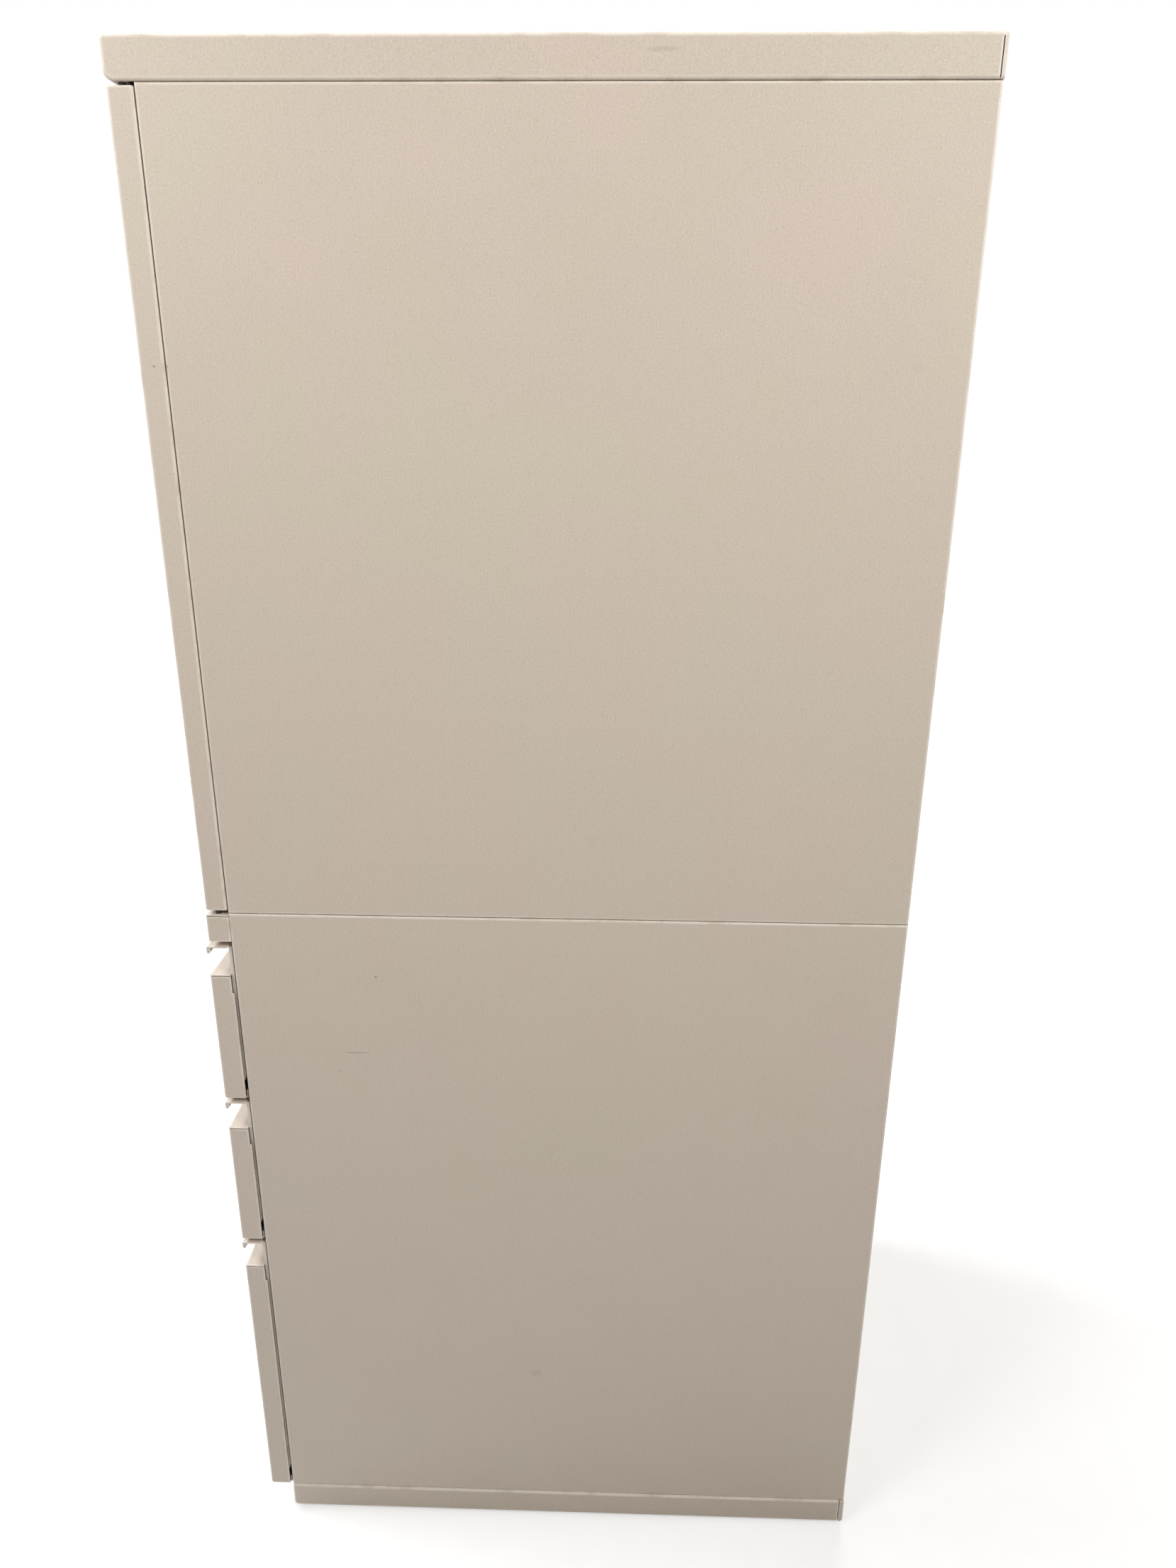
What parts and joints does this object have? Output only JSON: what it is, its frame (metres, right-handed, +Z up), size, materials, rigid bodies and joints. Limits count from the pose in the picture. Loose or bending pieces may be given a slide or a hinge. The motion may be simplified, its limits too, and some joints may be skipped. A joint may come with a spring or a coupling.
{
  "type": "metal drawer cabinet",
  "caption": "Tall painted steel storage tower: a cupboard with a side-hinged door above lip-pull drawers on telescopic slides, under one folded cap, on a plinth with levelling glides.",
  "frame": {"origin": "on the floor, under the middle of the overall width and depth", "axes": "+Z up, front faces -Y, hinge side of the door is +X"},
  "size_m": [0.457, 0.6116, 1.363],
  "materials": {
    "paint": "fine-textured powder coat, warm putty",
    "zinc_steel": "zinc plated",
    "nickel": "nickel plated",
    "black_plastic": "moulded, matt",
    "dark_steel": "black primer on the ballast, black oxide on the hinge pins"
  },
  "bodies": {
    "case": {"base_frame": "paint", "base_rear_rail": "paint", "levelling_glides": "zinc_steel", "glide_gussets": "zinc_steel", "pedestal_side_left": "paint", "pedestal_side_right": "paint", "pedestal_back": "paint", "pedestal_floor": "paint", "pedestal_top": "paint", "front_rail": "paint", "front_uprights": "paint", "rear_uprights": "paint", "counterweight": "dark_steel", "drawer_1_slides_fixed": "zinc_steel", "drawer_2_slides_fixed": "zinc_steel", "drawer_3_slides_fixed": "zinc_steel", "pedestal_lock_barrel": "nickel", "cupboard_side_left": "paint", "cupboard_side_right": "paint", "cupboard_back": "paint", "cupboard_floor": "paint", "cupboard_roof": "paint", "door_catch": "black_plastic", "unit_bolts": "zinc_steel", "shelf_standards": "zinc_steel", "shelf_clips": "zinc_steel", "shelf": "paint", "hinge_brackets": "paint", "hinge_pins": "dark_steel", "top_cap": "paint", "cap_stiffeners": "paint"},
    "door": {"door_skin": "paint", "door_inner_panel": "paint", "door_pull": "paint", "door_bushes": "black_plastic", "door_strike": "zinc_steel", "door_lock_barrel": "nickel"},
    "door_lock": {"door_lock_plug": "nickel", "door_lock_cam": "zinc_steel"},
    "pedestal_lock": {"pedestal_lock_plug": "nickel", "pedestal_lock_crank": "zinc_steel"},
    "locking_bar": {"lock_bar": "zinc_steel"},
    "drawer_1": {"drawer_1_front": "paint", "drawer_1_pull": "paint", "drawer_1_head": "paint", "drawer_1_box": "paint", "drawer_1_slides_inner": "zinc_steel"},
    "slides_1": {"drawer_1_slides_middle": "zinc_steel"},
    "drawer_2": {"drawer_2_front": "paint", "drawer_2_pull": "paint", "drawer_2_head": "paint", "drawer_2_box": "paint", "drawer_2_slides_inner": "zinc_steel"},
    "slides_2": {"drawer_2_slides_middle": "zinc_steel"},
    "drawer_3": {"drawer_3_front": "paint", "drawer_3_pull": "paint", "drawer_3_head": "paint", "drawer_3_box": "paint", "drawer_3_slides_inner": "zinc_steel"},
    "slides_3": {"drawer_3_slides_middle": "zinc_steel"}
  },
  "joints": [
    {"name": "drawer_1_slide", "type": "slide", "parent": "case", "child": "drawer_1", "axis": [0, -1, 0], "range_m": [0, 0.52]},
    {"name": "slides_1_travel", "type": "slide", "parent": "case", "child": "slides_1", "axis": [0, -1, 0], "range_m": [0, 0.26]},
    {"name": "drawer_2_slide", "type": "slide", "parent": "case", "child": "drawer_2", "axis": [0, -1, 0], "range_m": [0, 0.52]},
    {"name": "slides_2_travel", "type": "slide", "parent": "case", "child": "slides_2", "axis": [0, -1, 0], "range_m": [0, 0.26]},
    {"name": "drawer_3_slide", "type": "slide", "parent": "case", "child": "drawer_3", "axis": [0, -1, 0], "range_m": [0, 0.52]},
    {"name": "slides_3_travel", "type": "slide", "parent": "case", "child": "slides_3", "axis": [0, -1, 0], "range_m": [0, 0.26]},
    {"name": "door_hinge", "type": "hinge", "parent": "case", "child": "door", "pos_m": [0.2223, -0.2917, 1.022], "axis": [0, 0, 1], "range_deg": [0, 115]},
    {"name": "door_lock_turn", "type": "hinge", "parent": "door", "child": "door_lock", "pos_m": [-0.168, -0.2922, 1.005], "axis": [0, 1, 0], "range_deg": [0, 90]},
    {"name": "pedestal_lock_turn", "type": "hinge", "parent": "case", "child": "pedestal_lock", "pos_m": [0.185, -0.2922, 0.69455], "axis": [0, -1, 0], "range_deg": [0, 90]},
    {"name": "locking_bar_lift", "type": "slide", "parent": "case", "child": "locking_bar", "axis": [0, 0, 1], "range_m": [0, 0.0055]}
  ],
  "couplings": [
    {"joint": "slides_1_travel", "follows": "drawer_1_slide", "ratio": 0.5},
    {"joint": "slides_2_travel", "follows": "drawer_2_slide", "ratio": 0.5},
    {"joint": "slides_3_travel", "follows": "drawer_3_slide", "ratio": 0.5},
    {"joint": "pedestal_lock_turn", "follows": "locking_bar_lift", "rad_per_m": 285.6}
  ]
}
